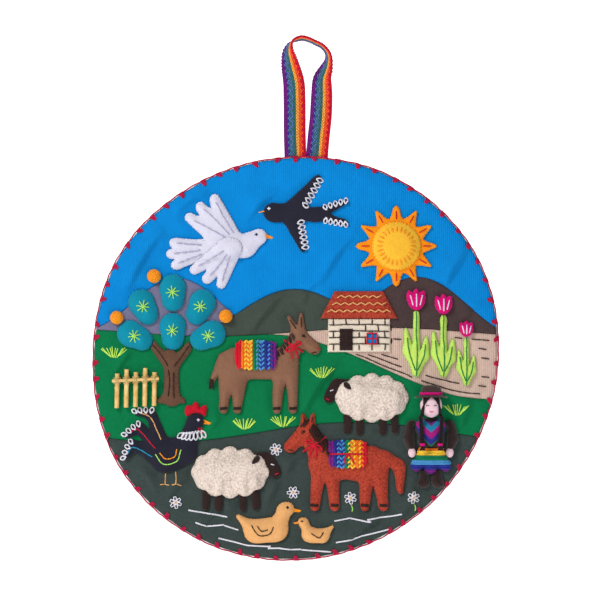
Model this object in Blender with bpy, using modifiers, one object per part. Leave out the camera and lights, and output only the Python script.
"""A round applique wall hanging with a rainbow hanging loop.

It hangs upright: +Z is up, the face looks towards -Y and the back lies on the wall plane Y = 0.
The origin is under the top of the loop, where a nail would sit. Tables are in millimetres,
measured from the centre of the disc, with x to the right and z up.
"""

import math

import bmesh
import bpy
import numpy as np
from mathutils import Matrix, Vector
from mathutils.geometry import delaunay_2d_cdt

MM = 0.001

# Where the centre of the disc hangs, seen from the nail
DISC_X = -4.2
DISC_Z = -223.4

# The uneven round edge: one radius every 30 degrees, counter-clockwise from +x
RIM_RADII = [141.0, 145.5, 145.0, 142.0, 141.5, 143.5, 141.5, 143.5, 142.0, 139.0, 137.0, 137.5]
FACE_INSET = 0.8

# Layers, as distances from the wall
GAP = 0.3
BACKING_THICK = 2.0
FACE_BACK = BACKING_THICK + GAP
FACE_THICK = 1.5
FELT_BACK = FACE_BACK + FACE_THICK + GAP
SEAM_GAP = 0.2
FACE_COLUMNS = 44
FACE_REACH = 145.0
NARROWEST_TIP = 0.6
COLUMN_APART = 1.2

# The woven band of the loop
BAND_WIDTH = 15.0
BAND_THICK = 1.5
BAND_STEPS = 44
BAND_TUCK = 9.0
BAND_FOOT_LEFT = -0.6
BAND_FOOT_RIGHT = 14.9
BAND_FOOT_OUT = 1.15
POCKET_SIDE = 0.8
POCKET_END = 0.5
POCKET_TOP = 160.0

# How closely an outline keeps to the true curve, and how far apart inner points stand
WALK_STEP = 0.5
OUTLINE_TOLERANCE = 0.22
LONGEST_EDGE = 8.0
INNER_SPACING = 8.0
BLEND = 0.7

COLOURS = {
    # name: (red, green, blue, roughness)
    "white_backing": (0.80, 0.79, 0.78, 0.9),
    "sky_cotton": (0.006, 0.27, 0.67, 0.9),
    "violet_cotton": (0.17, 0.17, 0.26, 0.9),
    "dark_green_cotton": (0.06, 0.08, 0.065, 0.9),
    "brown_cotton": (0.07, 0.045, 0.05, 0.9),
    "mid_green_cotton": (0.01, 0.25, 0.08, 0.9),
    "beige_cotton": (0.48, 0.35, 0.29, 0.9),
    "rainbow_band": (0.55, 0.12, 0.10, 0.8),
    "white_felt": (0.78, 0.77, 0.86, 0.95),
    "ochre_felt": (0.79, 0.42, 0.16, 0.95),
    "orange_felt": (1.0, 0.33, 0.02, 0.95),
    "black_felt": (0.02, 0.02, 0.035, 0.95),
    "brown_wool": (0.27, 0.13, 0.09, 0.95),
    "teal_felt": (0.01, 0.24, 0.41, 0.95),
    "cream_wool": (0.72, 0.56, 0.48, 0.95),
    "rust_wool": (0.39, 0.07, 0.03, 0.95),
    "lime_felt": (0.55, 0.73, 0.17, 0.95),
    "magenta_felt": (0.78, 0.0, 0.21, 0.95),
    "red_felt": (0.58, 0.01, 0.03, 0.95),
    "rainbow_blanket": (0.60, 0.20, 0.10, 0.9),
    "pink_jersey": (0.77, 0.61, 0.79, 0.9),
    "dark_velour": (0.02, 0.01, 0.01, 0.9),
    "bamboo": (0.74, 0.47, 0.14, 0.6),
}

# Face cloths: the hills as (middle x, half width, height above the field line)
FIELD_LINE = 20.0
HILL_LEFT = (-82.0, 66.0, 40.0)
HILL_MIDDLE = (-4.0, 76.0, 30.0)
HILL_RIGHT = (86.0, 70.0, 36.0)
FIELD_START = -26.0
FIELD_SPAN = 150.0
FIELD_DEPTH = 46.0
FOREGROUND_LINE = -50.0

# Soft swells of the cloth in its bare places
SWELLS = {
    # cloth: rows of (x from, z from, x to, z to, half width, height)
    "sky": [(-108, 80, -82, 108, 7, 0.9), (106, 90, 126, 54, 6, 0.8)],
    "foreground": [(-86, -102, -50, -127, 7, 1.0), (46, -122, 84, -104, 7, 1.0)],
}

# Motifs built of round-ended limbs: rows of (x, z, radius) from and (x, z, radius) to
DOVE = [
    (-10, -2, 6.5, 13, 0, 7.5),
    (17, 3, 6, 22, 6, 5),
    (-12, -3, 5, -31, -12, 3),
    (-12, -2, 5, -34, -5, 3),
    (-12, -1, 5, -32, 2, 3),
    (4, 3, 8, -6, 30, 3.2),
    (3, 3, 8, -15, 25, 3.2),
    (1, 3, 8, -22, 18, 3.2),
]
DOVE_WING = [
    (6, -1, 5.5, -2, -24, 3.2),
    (4, -1, 5.5, -11, -21, 3.2),
    (2, 0, 5.5, -19, -15, 3.2),
]
SWALLOW = [
    (-8, 0, 3.4, 12, 1, 4.4),
    (3, 2, 4.6, -9, 17, 1.5),
    (4, 0, 4.6, -2, -16, 1.5),
    (-8, 0, 2.6, -22, 6, 1.1),
    (-8, 0, 2.6, -22, -4, 1.1),
]
DONKEY = [
    (-21, 2, 12.0, 14, 2, 11.0),
    (15, 5, 8.5, 25, 21, 6.0),
    (25, 22, 6.5, 37, 13, 4.3),
    (23, 26, 3.0, 18, 36, 1.5),
    (27, 27, 3.0, 27, 38, 1.5),
    (11, -4, 5.5, 9, -32, 2.9),
    (20, -4, 5.0, 21, -32, 2.9),
    (-18, -4, 6.5, -20, -32, 2.9),
    (-27, -1, 7.0, -30, -32, 2.9),
    (-31, 7, 3.0, -39, -12, 1.8),
]
PONY = [
    (-18, 0, 12.5, 14, 1, 11.5),
    (14, 4, 9.5, 26, 22, 6.5),
    (26, 23, 6.5, 38, 12, 4.4),
    (23, 28, 2.6, 22, 34, 1.3),
    (28, 28, 2.6, 29, 34, 1.3),
    (9, -5, 5.5, 7, -30, 3.1),
    (18, -5, 5.5, 21, -30, 3.1),
    (-15, -5, 6.0, -14, -30, 3.1),
    (-24, -3, 6.5, -27, -30, 3.1),
    (-28, 6, 3.4, -38, -2, 4.4),
    (-38, -2, 4.4, -39, -19, 2.2),
]
SHEEP_LEGS = [
    (-14, 0, 7.0, 16, 4, 7.0),
    (-16, -6, 3.2, -17, -24, 2.6),
    (-8, -6, 3.2, -8, -25, 2.6),
    (9, -6, 3.2, 9, -25, 2.6),
    (17, -6, 3.2, 18, -24, 2.6),
    (16, 6, 7.0, 25, 8, 5.8),
    (25, 8, 5.8, 31.5, 0, 4.0),
]
ROOSTER = [
    (-5, -2, 12.0, 7, 1, 10.0),
    (8, 4, 8.0, 15, 20, 5.0),
    (15, 21, 5.4, 17, 22, 5.0),
    (-9, 0, 6.0, -23, 17, 3.6),
    (-23, 17, 3.6, -32, 12, 2.0),
    (-7, 4, 6.0, -15, 26, 3.4),
    (-15, 26, 3.4, -25, 28, 1.9),
    (-10, -4, 6.0, -27, 5, 3.4),
    (-27, 5, 3.4, -33, -3, 2.0),
]
ROOSTER_COMB = [
    (11, 27, 2.2, 21, 27, 2.2),
    (12, 27, 2.4, 11, 31, 2.0),
    (16, 28, 2.4, 16, 33, 2.2),
    (20, 27, 2.4, 22, 31, 2.0),
]
DUCK = [
    (-8, -2, 8.5, 6, -1, 8.5),
    (-13, 2, 4.5, -20, 8, 1.8),
    (7, 1, 6.5, 12, 12, 4.6),
    (12, 13, 5.2, 14, 13.5, 4.8),
]
TRUNK = [
    (0, -31, 6.0, 0, -8, 4.6),
    (-3, -31, 3.4, -8, -33, 2.0),
    (3, -31, 3.4, 8, -33, 2.0),
    (0, -10, 4.2, -16, 10, 2.6),
    (0, -10, 4.2, 15, 8, 2.6),
    (0, -8, 4.2, -1, 16, 2.6),
]
LEAF = [(0, -5, 7.6, 0, 4, 9.4)]
FLOWER_STEM = [
    (0, -28, 2.8, 0, 18, 2.2),
    (0, -26, 2.8, -6, -12, 3.6),
    (-6, -12, 3.6, -7.5, 4, 1.2),
    (0, -26, 2.8, 6, -15, 3.4),
    (6, -15, 3.4, 7.5, -2, 1.2),
]
FLOWER_HEAD = [
    (0, 23, 5.0, 0, 26, 5.0),
    (-3.5, 25, 3.0, -5.2, 31, 1.6),
    (0, 26, 3.0, 0, 32.5, 1.6),
    (3.5, 25, 3.0, 5.2, 31, 1.6),
]
DOLL_JACKET = [(-5.0, -46.5, 6.2, 5.0, -46.5, 6.2), (-4.0, -55, 5.4, 4.0, -55, 5.4)]
DOLL_ARM = [(-13.0, -45, 3.8, -15.6, -54, 3.4), (-15.6, -54, 3.4, -13.4, -61, 3.0)]
DOLL_SKIRT = [(0, -60, 7.0, -10, -73, 4.0), (0, -60, 7.0, 10, -73, 4.0), (0, -60, 7.0, 0, -74.5, 4.4)]
DOLL_LEG = [(0, -78, 3.6, 0, -85, 3.4), (0, -85, 3.4, 2.0, -86, 3.2)]

# Places of the motifs: name -> (x, z, size, which way it faces: 1 right, -1 left)
PLACES = {
    "dove": (-50, 80, 1.1, 1),
    "swallow": (2, 102, 1.5, -1),
    "sun": (70, 80, 1.0, 1),
    "tree": (-87, 5, 1.0, 1),
    "donkey": (-22, -4, 0.95, 1),
    "pony": (34, -72, 1.0, -1),
    "sheep_left": (-46, -78, 1.0, 1),
    "sheep_right": (53, -26, 0.95, -1),
    "rooster": (-86, -64, 1.0, 1),
    "duck": (-20, -117, 1.0, 1),
    "duckling": (13, -121, 0.62, -1),
    "cottage": (44, 6, 1.0, 1),
    "doll": (94, 0, 1.0, 1),
}
FLOWER_PLACES = [(84, 18, 0.95), (103, 16, 0.9), (119, 4, 0.7)]
# The leaves of the tree, from the tree's own middle: (x, z, turn in degrees)
LEAVES = [(-25, 12, 62), (-19, 32, 28), (1, 42, 0), (20, 32, -28), (25, 12, -64), (1, 15, 0)]
FRUITS = [(-38, 25, 4.4), (-12, 54, 4.6), (38, 26, 4.4)]
FRUIT_DEPTH = 4.0

# Fleece: a ring of curls round an oval
FLEECE_WIDE = 21.0
FLEECE_HIGH = 12.0
CURL_RADIUS = 6.2
CURLS = 12

# Sun
SUN_RADIUS = 17.0
RAY_REACH = 28.5
RAYS = 12

# Cottage, standing on its own base line
WALL_WIDE = 44.0
WALL_HIGH = 23.0
ROOF_WIDE = 54.0
ROOF_RIDGE = 34.0
ROOF_HIGH = 19.0
DOOR_WIDE = 9.0
DOOR_HIGH = 15.0

# Woven blankets on the two backs: (x, z, wide, high)
DONKEY_BLANKET = (-6, 4, 30, 20)
PONY_BLANKET = (-2, 3, 28, 19)

# How thick the pieces are that another piece lies on
DOVE_THICK = 2.6
RAYS_THICK = 1.7
WALL_THICK = 1.8
LEGS_THICK = 1.7
ANIMAL_THICK = 3.5

# Doll's head and hat, round shapes that stand clear of the cloth
DOLL_HEAD = (0, -31, 7.6, 8.4)
HEAD_DEPTH = 5.6
HEAD_SEGMENTS = 16
HEAD_RINGS = 10
BRIM_RADIUS = 11.5
CROWN_RADIUS = 7.2
HAT_HIGH = 8.5
BRIM_THICK = 1.4
HAT_FLAT = 0.56
HAT_FORWARD = 0.6
HAT_STEPS = 20

# Bamboo fence
STICK_XS = [-125, -118.5, -112, -105.5, -99]
STICK_RADIUS = 1.6
STICK_LOW = -33.0
STICK_CLIMB = 0.06
STICK_LEAN = 0.4
STICK_HIGHS = [-9, -6, -8, -5, -8]
STICK_SIDES = 10
CANE_RADIUS = 1.1
CANE_Z = -14.0
CANE_CLIMB = 1.6
CANE_ENDS = (3.0, 3.6)
CANE_SIDES = 8

scene_objects = list(bpy.data.objects)
for old in scene_objects:
    bpy.data.objects.remove(old)

hanging = bpy.data.collections.new("arpillera_hanging")
bpy.context.scene.collection.children.link(hanging)
cutters = bpy.data.collections.new("cutters")
bpy.context.scene.collection.children.link(cutters)

disc = bpy.data.objects.new("disc_centre", None)
disc.location = (DISC_X * MM, 0, DISC_Z * MM)
hanging.objects.link(disc)


def material(name):
    """The Principled material of one cloth, felt or wood, made once."""
    if name in bpy.data.materials:
        return bpy.data.materials[name]
    red, green, blue, roughness = COLOURS[name]
    made = bpy.data.materials.new(name)
    made.use_nodes = True
    shader = made.node_tree.nodes["Principled BSDF"]
    shader.inputs["Base Color"].default_value = (red, green, blue, 1)
    shader.inputs["Roughness"].default_value = roughness
    shader.inputs["Metallic"].default_value = 0
    return made


def piece(name, mesh, finish, collection=hanging):
    """Puts a mesh in the scene as one named piece of the hanging."""
    made = bpy.data.objects.new(name, mesh)
    mesh.materials.append(material(finish))
    made.parent = disc
    collection.objects.link(made)
    return made


def rim_radius(angle, inset=0.0):
    """The edge's radius at an angle, smoothly through the radii of the table."""
    turn = (math.degrees(angle) % 360) / 30
    first = int(turn)
    part = turn - first
    before, here, after, beyond = [RIM_RADII[(first + k) % 12] for k in (-1, 0, 1, 2)]
    slope_here = (after - before) / 2
    slope_after = (beyond - here) / 2
    curve = (2 * here - 2 * after + slope_here + slope_after) * part ** 3
    curve += (3 * after - 3 * here - 2 * slope_here - slope_after) * part ** 2
    return curve + slope_here * part + here - inset


def rim_ring(steps, inset):
    """The edge as a ring of points."""
    ring = []
    for k in range(steps):
        angle = 2 * math.pi * k / steps
        radius = rim_radius(angle, inset)
        ring.append((radius * math.cos(angle), radius * math.sin(angle)))
    return ring


def place_limbs(limbs, x=0.0, z=0.0, size=1.0, faces=1, turn=0.0):
    """Moves a motif's limbs to their place: sized, turned, and mirrored if it faces left."""
    cos, sin = math.cos(math.radians(turn)), math.sin(math.radians(turn))
    placed = []
    for x1, z1, r1, x2, z2, r2 in limbs:
        row = []
        for px, pz, radius in ((x1, z1, r1), (x2, z2, r2)):
            turned_x = px * cos - pz * sin
            turned_z = px * sin + pz * cos
            row += [x + faces * size * turned_x, z + size * turned_z, size * radius]
        placed.append(tuple(row))
    return placed


def depth_outside(x, z, limbs):
    """How far a point lies outside the soft union of round-ended limbs; negative inside."""
    total = 0.0
    for x1, z1, r1, x2, z2, r2 in limbs:
        dx, dz = x2 - x1, z2 - z1
        along = ((x - x1) * dx + (z - z1) * dz) / max(dx * dx + dz * dz, 1e-9)
        along = min(1.0, max(0.0, along))
        away = math.hypot(x - x1 - along * dx, z - z1 - along * dz)
        total += math.exp(-(away - r1 - (r2 - r1) * along) / BLEND)
    return -BLEND * math.log(total + 1e-300)


def walk_outline(limbs, keep_off=(), clear=0.4):
    """Walks round the union's edge, kept clear of other limbs, and thins the steps to an outline."""

    def outside(x, z):
        own = depth_outside(x, z, limbs)
        if not keep_off:
            return own
        other = clear - depth_outside(x, z, keep_off)
        return BLEND * math.log(math.exp(own / BLEND) + math.exp(min(other / BLEND, 300)))

    def slope(x, z):
        e = 0.01
        return (
            (outside(x + e, z) - outside(x - e, z)) / (2 * e),
            (outside(x, z + e) - outside(x, z - e)) / (2 * e),
        )

    lowest = min(limbs, key=lambda row: min(row[1] - row[2], row[4] - row[5]))
    if lowest[1] - lowest[2] < lowest[4] - lowest[5]:
        x, z = lowest[0], lowest[1]
    else:
        x, z = lowest[3], lowest[4]
    while outside(x, z) < 0:
        z -= WALK_STEP / 2
    steps = []
    for _ in range(6000):
        for _ in range(3):
            sx, sz = slope(x, z)
            scale = outside(x, z) / max(sx * sx + sz * sz, 0.04)
            x, z = x - scale * sx, z - scale * sz
        if len(steps) > 8 and math.hypot(x - steps[0][0], z - steps[0][1]) < 0.8 * WALK_STEP:
            break
        steps.append((x, z))
        sx, sz = slope(x, z)
        length = math.hypot(sx, sz)
        x, z = x - WALK_STEP * sz / length, z + WALK_STEP * sx / length
    return thin_out(steps)


def thin_out(steps):
    """Keeps the points that the outline's shape needs, within the tolerance."""
    kept = [0]
    last = 0
    here = 2
    while here < len(steps):
        chord = Vector(steps[here]) - Vector(steps[last])
        normal = Vector((-chord.y, chord.x)).normalized()
        between = [abs((Vector(p) - Vector(steps[last])).dot(normal)) for p in steps[last + 1:here]]
        if max(between) > OUTLINE_TOLERANCE or chord.length > LONGEST_EDGE:
            last = here - 1
            kept.append(last)
        here += 1
    return [steps[k] for k in kept]


def edge_distance(point, outline):
    """The distance from a point to a closed outline."""
    ring = np.array(outline)
    after = np.roll(ring, -1, axis=0)
    run = after - ring
    along = ((np.array(point) - ring) * run).sum(1) / np.maximum((run * run).sum(1), 1e-9)
    nearest = ring + run * np.clip(along, 0, 1)[:, None]
    return float(np.sqrt(((nearest - np.array(point)) ** 2).sum(1)).min())


def inside(point, outline):
    """Whether a point lies inside a closed outline."""
    x, z = point
    crossed = False
    for (x1, z1), (x2, z2) in zip(outline, outline[1:] + outline[:1]):
        if (z1 > z) != (z2 > z) and x < x1 + (z - z1) * (x2 - x1) / (z2 - z1):
            crossed = not crossed
    return crossed


def inner_points(outline, spacing):
    """Points in staggered rows inside an outline, clear of its edge."""
    xs = [p[0] for p in outline]
    zs = [p[1] for p in outline]
    found = []
    row_height = spacing * 0.87
    for row in range(int((max(zs) - min(zs)) / row_height) + 1):
        shift = spacing * (0.25 + 0.5 * (row % 2))
        for column in range(int((max(xs) - min(xs)) / spacing) + 1):
            point = (min(xs) + shift + column * spacing, min(zs) + (row + 0.5) * row_height)
            if inside(point, outline) and edge_distance(point, outline) > spacing * 0.32:
                found.append(point)
    return found


def close_behind(sheet, back):
    """Gives an open front sheet its side wall and flat back, at a distance from the wall."""
    border = [edge for edge in sheet.edges if edge.is_boundary]
    grown = bmesh.ops.extrude_edge_only(sheet, edges=border)["geom"]
    for vert in grown:
        if isinstance(vert, bmesh.types.BMVert):
            vert.co.y = -back * MM
    border = [edge for edge in sheet.edges if edge.is_boundary]
    bmesh.ops.holes_fill(sheet, edges=border, sides=0)
    bmesh.ops.recalc_face_normals(sheet, faces=sheet.faces)


def pad(name, outline, finish, back=FELT_BACK, edge=1.4, crown=1.6, soft=3.0, spacing=INNER_SPACING):
    """A cut and stuffed shape: a flat back, a low edge and a crown that rises away from the edge."""
    corners = [Vector(p) for p in outline]
    inner = [Vector(p) for p in inner_points(outline, spacing)]
    loop = list(range(len(corners)))
    points, _, faces, _, _, _ = delaunay_2d_cdt(corners + inner, [], [loop], 1, 1e-5)
    sheet = bmesh.new()
    verts = []
    for point in points:
        away = edge_distance(point, outline)
        height = back + edge + crown * (1 - math.exp(-away / soft))
        verts.append(sheet.verts.new((point.x * MM, -height * MM, point.y * MM)))
    for face in faces:
        sheet.faces.new([verts[k] for k in face])
    close_behind(sheet, back)
    mesh = bpy.data.meshes.new(name)
    sheet.to_mesh(mesh)
    sheet.free()
    return piece(name, mesh, finish)


def swell(name, x, z):
    """The height of the cloth's soft swells at a point."""
    total = 0.0
    for x1, z1, x2, z2, half, height in SWELLS.get(name, []):
        dx, dz = x2 - x1, z2 - z1
        along = min(1.0, max(0.0, ((x - x1) * dx + (z - z1) * dz) / (dx * dx + dz * dz)))
        away = math.hypot(x - x1 - along * dx, z - z1 - along * dz)
        total += height * math.exp(-(away / half) ** 2) * math.sin(math.pi * (0.15 + 0.7 * along))
    return total


def rim_height(xs, side):
    """The edge's z above or below the middle, at each x."""
    angles = np.linspace(0, math.pi, 181) * side
    radii = [rim_radius(angle, FACE_INSET) for angle in angles]
    return np.interp(xs, (radii * np.cos(angles))[::-1], (radii * np.sin(angles))[::-1])


def rim_low(xs):
    """The lower half of the edge."""
    return rim_height(xs, -1)


def rim_high(xs):
    """The upper half of the edge."""
    return rim_height(xs, 1)


def crossings(first, second):
    """Where two lines of the face cross, as x values."""
    fine = np.arange(-FACE_REACH, FACE_REACH, 0.1)
    above = first(fine) > second(fine)
    return [float(x) for x in fine[:-1][above[:-1] != above[1:]]]


def face_columns(lines, ridges):
    """The x of every column of points on the face: evenly round the edge, and wherever two lines meet.

    Every cloth uses the same columns, so that a shared seam keeps its gap.
    """
    corners = []
    for line in lines + ridges:
        corners += crossings(line, rim_low) + crossings(line, rim_high)
    for first, second in zip(ridges, ridges[1:]):
        corners += crossings(first, second)
    kept = []
    for x in sorted(corners):
        if abs(x) < FACE_REACH - 2 and (not kept or x - kept[-1] > COLUMN_APART):
            kept.append(x)
    even = -FACE_REACH * np.cos(np.linspace(0, math.pi, FACE_COLUMNS + 1))
    clear = [float(x) for x in even if all(abs(x - corner) > COLUMN_APART for corner in kept)]
    return np.array(sorted(clear + kept))


def face_cloth(name, low, high, finish, rows, columns):
    """One cloth of the face: from a low line to a high line, inside the round edge."""
    fine = np.arange(-FACE_REACH, FACE_REACH, 0.1)
    bottom = np.maximum(low(fine), rim_low(fine))
    top = np.minimum(high(fine), rim_high(fine))
    wide = fine[top - bottom > NARROWEST_TIP]
    first, last = wide[0], wide[-1]
    near_first = columns[(columns >= first) & (columns < first + COLUMN_APART / 2)]
    near_last = columns[(columns <= last) & (columns > last - COLUMN_APART / 2)]
    first = near_first[0] if len(near_first) else first
    last = near_last[-1] if len(near_last) else last
    within = columns[(columns > first + COLUMN_APART / 2) & (columns < last - COLUMN_APART / 2)]
    xs = np.concatenate([[first], within, [last]])
    sheet = bmesh.new()
    grid = []
    for x in xs:
        slope = abs(low(x + 0.5) - low(x - 0.5))
        z1 = max(low(x) + SEAM_GAP * math.hypot(1, slope), rim_low(x))
        slope = abs(high(x + 0.5) - high(x - 0.5))
        z2 = min(high(x) - SEAM_GAP * math.hypot(1, slope), rim_high(x))
        column = []
        for row in range(rows + 1):
            z = z1 + (z2 - z1) * row / rows
            inner = 0 < row < rows and x not in (xs[0], xs[-1])
            height = FACE_BACK + FACE_THICK + (swell(name, x, z) if inner else 0)
            column.append(sheet.verts.new((x * MM, -height * MM, z * MM)))
        grid.append(column)
    for left, right in zip(grid, grid[1:]):
        for k in range(rows):
            sheet.faces.new((left[k], right[k], right[k + 1], left[k + 1]))
    close_behind(sheet, FACE_BACK)
    mesh = bpy.data.meshes.new(name)
    sheet.to_mesh(mesh)
    sheet.free()
    return piece(name, mesh, finish)


def field_line(x):
    """The foot of the hills."""
    return FIELD_LINE + 3 * np.sin(x / 38.0)


def hill(x, shape):
    """A rounded hill on the field line."""
    middle, half, high = shape
    reach = np.clip((x - middle) / half, -1, 1)
    return field_line(x) + high * np.cos(reach * math.pi / 2) ** 2 - 0.01


def field_foot(x):
    """The lower edge of the ploughed field, which widens to the right."""
    part = np.clip((x - FIELD_START) / FIELD_SPAN, 0, 1)
    return field_line(x) - FIELD_DEPTH * part * part * (3 - 2 * part)


def foreground_line(x):
    """The top of the foreground."""
    return FOREGROUND_LINE + 7 * np.sin(x / 42.0 + 0.6)


def make_face_cloths():
    """Sky, hills, meadow, field and foreground, cut to lie edge to edge."""

    def side_foot(x):
        return np.maximum(field_line(x), hill(x, HILL_MIDDLE))

    def skyline(x):
        ridges = [hill(x, shape) for shape in (HILL_LEFT, HILL_MIDDLE, HILL_RIGHT)]
        return np.maximum.reduce(ridges)

    def left_hill(x):
        return hill(x, HILL_LEFT)

    def middle_hill(x):
        return hill(x, HILL_MIDDLE)

    def right_hill(x):
        return hill(x, HILL_RIGHT)

    def above_all(x):
        return 2 * FACE_REACH + 0 * x

    def below_all(x):
        return -2 * FACE_REACH + 0 * x

    columns = face_columns([field_line, field_foot, foreground_line], [left_hill, middle_hill, right_hill])
    face_cloth("sky", skyline, above_all, "sky_cotton", 4, columns)
    face_cloth("hill_left", side_foot, left_hill, "violet_cotton", 2, columns)
    face_cloth("hill_middle", field_line, middle_hill, "dark_green_cotton", 2, columns)
    face_cloth("hill_right", side_foot, right_hill, "brown_cotton", 2, columns)
    face_cloth("meadow", foreground_line, field_foot, "mid_green_cotton", 2, columns)
    face_cloth("field", field_foot, field_line, "beige_cotton", 2, columns)
    face_cloth("foreground", below_all, foreground_line, "dark_green_cotton", 4, columns)


def band_route():
    """The middle line of the band, with the turn of its width from +x towards the viewer.

    Rows of (x, distance from the wall, z, turn in degrees, upward lean of the width), up the left
    leg, over the top on edge, and down the right.
    """
    tucked = rim_radius(math.pi / 2) - BAND_TUCK
    left, right, out = BAND_FOOT_LEFT, BAND_FOOT_RIGHT, BAND_FOOT_OUT
    return [
        (left, out, tucked, 0, 0),
        (left, out, 142.5, 0, 0),
        (-0.9, 1.6, 160, 0, 0),
        (-1.0, 2.4, 180, 0, 0),
        (-1.5, 3.6, 194, 14, 0),
        (-3.9, 5.7, 206, 36, 0),
        (-5.2, 7.3, 215.6, 60, 0.04),
        (-2.8, 8.1, 222.0, 78, 0.08),
        (3.4, 8.4, 224.7, 90, 0.08),
        (8.8, 8.4, 223.7, 90, 0.08),
        (13.6, 8.4, 221.5, 90, 0.08),
        (18.4, 8.3, 219.0, 88, 0.08),
        (22.0, 8.1, 214.6, 82, 0.06),
        (22.8, 7.8, 209.6, 72, 0.03),
        (21.2, 7.0, 203.6, 54, 0),
        (18.3, 5.4, 196, 34, 0),
        (18.0, 3.2, 185, 16, 0),
        (17.3, 1.8, 170, 4, 0),
        (15.9, out, 156, 0, 0),
        (right, out, 142.5, 0, 0),
        (right, out, tucked, 0, 0),
    ]


def make_loop():
    """The rainbow band, one strip swept along its route and closed at both ends."""
    route = np.array(band_route(), dtype=float)
    count = len(route)
    rings = []
    strip = bmesh.new()
    lines = []
    for step in range(BAND_STEPS + 1):
        place = step * (count - 1) / BAND_STEPS
        first = min(int(place), count - 2)
        part = place - first
        rows = [route[min(max(first + k, 0), count - 1)] for k in (-1, 0, 1, 2)]
        a = -0.5 * rows[0] + 1.5 * rows[1] - 1.5 * rows[2] + 0.5 * rows[3]
        b = rows[0] - 2.5 * rows[1] + 2 * rows[2] - 0.5 * rows[3]
        c = 0.5 * (rows[2] - rows[0])
        lines.append(((a * part + b) * part + c) * part + rows[1])
    for k, (x, out, z, turn, lean) in enumerate(lines):
        before = lines[max(k - 1, 0)]
        after = lines[min(k + 1, BAND_STEPS)]
        along = Vector((after[0] - before[0], before[1] - after[1], after[2] - before[2])).normalized()
        wide = Vector((math.cos(math.radians(turn)), -math.sin(math.radians(turn)), lean))
        wide = (wide - along * wide.dot(along)).normalized()
        thick = along.cross(wide)
        middle = Vector((x, -out, z))
        ring = []
        for across, through in ((-1, -1), (1, -1), (1, 1), (-1, 1)):
            corner = middle + wide * (across * BAND_WIDTH / 2) + thick * (through * BAND_THICK / 2)
            ring.append(strip.verts.new(corner * MM))
        rings.append(ring)
    for ring, following in zip(rings, rings[1:]):
        for k in range(4):
            after = (k + 1) % 4
            strip.faces.new((ring[k], ring[after], following[after], following[k]))
    strip.faces.new(rings[0])
    strip.faces.new(rings[-1])
    bmesh.ops.recalc_face_normals(strip, faces=strip.faces)
    mesh = bpy.data.meshes.new("hanging_loop")
    strip.to_mesh(mesh)
    strip.free()
    return piece("hanging_loop", mesh, "rainbow_band")


def make_backing():
    """The white padded backing, with a pocket at the top where the band's ends lie."""
    outline = bpy.data.curves.new("backing_outline", "CURVE")
    outline.dimensions = "2D"
    outline.fill_mode = "BOTH"
    outline.extrude = BACKING_THICK / 2 * MM
    ring = rim_ring(72, 0)
    spline = outline.splines.new("POLY")
    spline.points.add(len(ring) - 1)
    for point, (x, z) in zip(spline.points, ring):
        point.co = (x * MM, z * MM, 0, 1)
    spline.use_cyclic_u = True
    flat = bpy.data.objects.new("backing_flat", outline)
    hanging.objects.link(flat)
    upright = Matrix.Rotation(math.radians(90), 4, "X")
    upright.translation = Vector((0, -BACKING_THICK / 2 * MM, 0))
    flat.matrix_world = upright
    bpy.context.view_layer.update()
    shape = flat.evaluated_get(bpy.context.evaluated_depsgraph_get())
    mesh = bpy.data.meshes.new_from_object(shape)
    mesh.transform(upright)
    bpy.data.objects.remove(flat)
    welded = bmesh.new()
    welded.from_mesh(mesh)
    bmesh.ops.remove_doubles(welded, verts=welded.verts, dist=0.00001)
    bmesh.ops.recalc_face_normals(welded, faces=welded.faces)
    welded.to_mesh(mesh)
    welded.free()
    mesh.name = "backing"
    backing = piece("backing", mesh, "white_backing")

    pocket_left = BAND_FOOT_LEFT - BAND_WIDTH / 2 - POCKET_SIDE
    pocket_right = BAND_FOOT_RIGHT + BAND_WIDTH / 2 + POCKET_SIDE
    pocket_foot = rim_radius(math.pi / 2) - BAND_TUCK - POCKET_END
    bpy.ops.mesh.primitive_cube_add(size=1)
    pocket = bpy.context.active_object
    pocket.name = "band_pocket"
    pocket.scale = ((pocket_right - pocket_left) * MM, 4 * BACKING_THICK * MM, (POCKET_TOP - pocket_foot) * MM)
    pocket.location = ((pocket_left + pocket_right) / 2 * MM, 0, (POCKET_TOP + pocket_foot) / 2 * MM)
    pocket.parent = disc
    pocket.hide_render = True
    pocket.display_type = "WIRE"
    for owner in list(pocket.users_collection):
        owner.objects.unlink(pocket)
    cutters.objects.link(pocket)
    cut = backing.modifiers.new("band_pocket", "BOOLEAN")
    cut.operation = "DIFFERENCE"
    cut.object = pocket
    return backing


def make_birds():
    """Dove with its near wing, swallow, rooster with its comb, duck and duckling."""
    dove = place_limbs(DOVE, *PLACES["dove"])
    pad("dove", walk_outline(dove), "white_felt", edge=1.2, crown=1.4)
    wing = place_limbs(DOVE_WING, *PLACES["dove"])
    pad("dove_wing", walk_outline(wing), "white_felt", back=FELT_BACK + DOVE_THICK + GAP, edge=1.2, crown=1.2)
    swallow = place_limbs(SWALLOW, *PLACES["swallow"])
    pad("swallow", walk_outline(swallow), "black_felt", edge=1.2, crown=1.2)
    rooster = place_limbs(ROOSTER, *PLACES["rooster"])
    pad("rooster", walk_outline(rooster), "black_felt", edge=1.3, crown=2.4)
    comb = place_limbs(ROOSTER_COMB, *PLACES["rooster"])
    pad("rooster_comb", walk_outline(comb, keep_off=rooster), "red_felt", edge=1.3, crown=1.2)
    for name in ("duck", "duckling"):
        pad(name, walk_outline(place_limbs(DUCK, *PLACES[name])), "ochre_felt", edge=1.3, crown=2.6)


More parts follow.
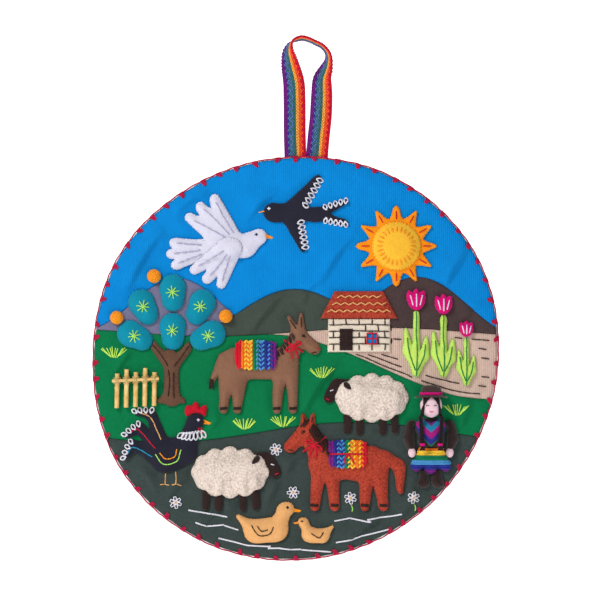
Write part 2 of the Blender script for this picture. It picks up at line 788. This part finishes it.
def make_sun():
    """A round puffed sun on a ring of pointed rays."""
    x, z, size, _ = PLACES["sun"]
    rays = []
    for k in range(RAYS):
        turn = 360 * k / RAYS
        rays += place_limbs([(0, 0, 12, 0, RAY_REACH - 1.4, 1.2)], x, z, size, 1, turn)
    pad("sun_rays", walk_outline(rays), "orange_felt", edge=1.2, crown=0.5)
    back = FELT_BACK + RAYS_THICK + GAP
    pad("sun", walk_outline([(x, z, SUN_RADIUS, x, z, SUN_RADIUS)]), "ochre_felt", back, 1.2, 3.2, 5.0)


def make_tree():
    """Trunk, stuffed leaves and round fruits."""
    x, z, size, _ = PLACES["tree"]
    leaves = [place_limbs(LEAF, x + lx, z + lz, size, 1, turn) for lx, lz, turn in LEAVES]
    for number, leaf in enumerate(leaves, 1):
        pad(f"leaf_{number}", walk_outline(leaf), "teal_felt", edge=1.3, crown=3.0, soft=3.6, spacing=6.0)
    every_leaf = [limb for leaf in leaves for limb in leaf]
    trunk = place_limbs(TRUNK, x, z, size)
    pad("trunk", walk_outline(trunk, keep_off=every_leaf), "brown_wool", edge=1.3, crown=1.4)
    for number, (fx, fz, radius) in enumerate(FRUITS, 1):
        fruit = [(x + fx, z + fz, radius, x + fx, z + fz, radius)]
        pad(f"fruit_{number}", walk_outline(fruit), "orange_felt", edge=1.5, crown=FRUIT_DEPTH, spacing=3.5)


def box_outline(x, z, low_wide, top_wide, high, lean=0.0):
    """A four-sided cut, such as a wall or a roof, standing on its foot."""
    half_low, half_top = low_wide / 2, top_wide / 2
    return [(x - half_low, z), (x + half_low, z), (x + half_top + lean, z + high), (x - half_top + lean, z + high)]


def finely(outline, step=8.0):
    """Adds points along the straight sides of an outline."""
    fine = []
    for (x1, z1), (x2, z2) in zip(outline, outline[1:] + outline[:1]):
        parts = max(1, round(math.hypot(x2 - x1, z2 - z1) / step))
        fine += [(x1 + (x2 - x1) * k / parts, z1 + (z2 - z1) * k / parts) for k in range(parts)]
    return fine


def make_cottage():
    """Wall, roof and door."""
    x, z, _, _ = PLACES["cottage"]
    wall = finely(box_outline(x, z, WALL_WIDE, WALL_WIDE - 1, WALL_HIGH))
    pad("cottage_wall", wall, "cream_wool", edge=1.2, crown=0.6)
    roof = finely(box_outline(x, z + WALL_HIGH + 0.4, ROOF_WIDE, ROOF_RIDGE, ROOF_HIGH))
    pad("cottage_roof", roof, "rust_wool", edge=1.4, crown=1.0)
    door = finely(box_outline(x - 9, z + 1.2, DOOR_WIDE, DOOR_WIDE, DOOR_HIGH))
    pad("cottage_door", door, "dark_velour", back=FELT_BACK + WALL_THICK + GAP, edge=1.0, crown=0.3)


def make_flowers():
    """Tall flowers: stem with two leaves, and a head of three petals."""
    for number, (x, z, size) in enumerate(FLOWER_PLACES, 1):
        head = place_limbs(FLOWER_HEAD, x, z, size)
        stem = place_limbs(FLOWER_STEM, x, z, size)
        pad(f"flower_stem_{number}", walk_outline(stem, keep_off=head), "lime_felt", edge=1.3, crown=1.2)
        pad(f"flower_head_{number}", walk_outline(head), "magenta_felt", edge=1.5, crown=3.0, spacing=5.0)


def make_animals():
    """Donkey, pony and two sheep, and the woven blankets on two backs."""
    for name, limbs, finish, blanket in (
        ("donkey", DONKEY, "brown_wool", DONKEY_BLANKET),
        ("pony", PONY, "rust_wool", PONY_BLANKET),
    ):
        x, z, size, faces = PLACES[name]
        pad(name, walk_outline(place_limbs(limbs, x, z, size, faces)), finish, edge=1.3, crown=2.2)
        bx, bz, wide, high = blanket
        cloth = box_outline(x + faces * bx, z + bz - high / 2 + 4, wide - 1, wide, high)
        back = FELT_BACK + ANIMAL_THICK + GAP
        pad(f"{name}_blanket", finely(cloth), "rainbow_blanket", back, 1.6, 0.6)
    curls = [(-8, 0, 10, 8, 0, 10)]
    for k in range(CURLS):
        angle = 2 * math.pi * k / CURLS
        cx, cz = FLEECE_WIDE * math.cos(angle), FLEECE_HIGH * math.sin(angle)
        curls.append((cx, cz, CURL_RADIUS, 0.8 * cx, 0.8 * cz, CURL_RADIUS))
    for name in ("sheep_left", "sheep_right"):
        x, z, size, faces = PLACES[name]
        legs = place_limbs(SHEEP_LEGS, x, z, size, faces)
        fleece = place_limbs(curls, x, z, size, faces)
        pad(f"{name}_legs", walk_outline(legs), "dark_velour", edge=1.2, crown=0.5)
        back = FELT_BACK + LEGS_THICK + GAP
        pad(f"{name}_fleece", walk_outline(fleece), "cream_wool", back, 1.6, 2.4, 3.5)


def make_doll():
    """A small stuffed doll: legs, skirt, jacket, arms, head and hat."""
    x, z, size, _ = PLACES["doll"]

    def at(limbs, faces=1, shift=0.0):
        return place_limbs(limbs, x + shift, z, size, faces)

    skirt, jacket = at(DOLL_SKIRT), at(DOLL_JACKET)
    for side, faces in (("left", 1), ("right", -1)):
        leg = at(DOLL_LEG, -faces, -4.4 * faces)
        pad(f"doll_leg_{side}", walk_outline(leg, keep_off=skirt), "dark_velour", edge=2.2, crown=2.6)
        arm = at(DOLL_ARM, faces)
        outline = walk_outline(arm, keep_off=jacket + skirt)
        pad(f"doll_arm_{side}", outline, "dark_velour", edge=2.6, crown=3.0, spacing=5.0)
    pad("doll_skirt", walk_outline(skirt, keep_off=jacket), "rainbow_blanket", edge=3.0, crown=4.2)
    pad("doll_jacket", walk_outline(jacket), "dark_velour", edge=3.0, crown=4.8)

    head_x, head_z, head_wide, head_high = DOLL_HEAD
    depth = FELT_BACK + GAP + HEAD_DEPTH
    bpy.ops.mesh.primitive_uv_sphere_add(segments=HEAD_SEGMENTS, ring_count=HEAD_RINGS, radius=1)
    head = bpy.context.active_object
    head.name = "doll_head"
    head.scale = (head_wide * MM, HEAD_DEPTH * MM, head_high * MM)
    head.location = ((x + head_x) * MM, -depth * MM, (z + head_z) * MM)
    adopt(head, "pink_jersey")

    profile = [
        (0, HAT_HIGH),
        (CROWN_RADIUS * 0.75, HAT_HIGH - 0.8),
        (CROWN_RADIUS, HAT_HIGH - 3.5),
        (CROWN_RADIUS + 0.3, BRIM_THICK),
        (BRIM_RADIUS, BRIM_THICK * 0.6),
        (BRIM_RADIUS, 0),
        (0, 0),
    ]
    turned = bmesh.new()
    verts = [turned.verts.new((px * MM, 0, pz * MM)) for px, pz in profile]
    for first, second in zip(verts, verts[1:]):
        turned.edges.new((first, second))
    mesh = bpy.data.meshes.new("doll_hat")
    turned.to_mesh(mesh)
    turned.free()
    hat = piece("doll_hat", mesh, "dark_velour")
    screw = hat.modifiers.new("turned", "SCREW")
    screw.steps = HAT_STEPS
    screw.render_steps = HAT_STEPS
    screw.use_merge_vertices = True
    screw.merge_threshold = 0.00001
    hat.scale = (1, HAT_FLAT, 1)
    hat.location = ((x + head_x) * MM, -(depth + HAT_FORWARD) * MM, (z + head_z + head_high + 0.4) * MM)


def adopt(made, finish):
    """Takes a new primitive into the hanging, smooth and with its finish."""
    for owner in list(made.users_collection):
        owner.objects.unlink(made)
    hanging.objects.link(made)
    made.parent = disc
    made.data.materials.append(material(finish))
    made.data.shade_smooth()


def round_stick(name, start, end, radius, finish, sides):
    """A round stick from one point to another."""
    run = Vector(end) - Vector(start)
    bpy.ops.mesh.primitive_cylinder_add(vertices=sides, radius=radius * MM, depth=run.length * MM)
    stick = bpy.context.active_object
    stick.name = name
    stick.rotation_euler = run.to_track_quat("Z", "Y").to_euler()
    stick.location = (Vector(start) + Vector(end)) / 2 * MM
    adopt(stick, finish)


def make_fence():
    """Bamboo sticks and the cane that they are tied to."""
    stick_out = -(FELT_BACK + GAP + STICK_RADIUS)
    for number, (x, high) in enumerate(zip(STICK_XS, STICK_HIGHS), 1):
        foot = (x, stick_out, STICK_LOW + STICK_CLIMB * (x - STICK_XS[0]))
        top = (x + STICK_LEAN, stick_out, high)
        round_stick(f"stick_{number}", foot, top, STICK_RADIUS, "bamboo", STICK_SIDES)
    cane_out = stick_out - STICK_RADIUS - CANE_RADIUS - GAP
    start = (STICK_XS[0] - CANE_ENDS[0], cane_out, CANE_Z)
    end = (STICK_XS[-1] + CANE_ENDS[1], cane_out, CANE_Z + CANE_CLIMB)
    round_stick("cane", start, end, CANE_RADIUS, "bamboo", CANE_SIDES)


make_backing()
make_loop()
make_face_cloths()
make_birds()
make_sun()
make_tree()
make_cottage()
make_flowers()
make_animals()
make_doll()
make_fence()
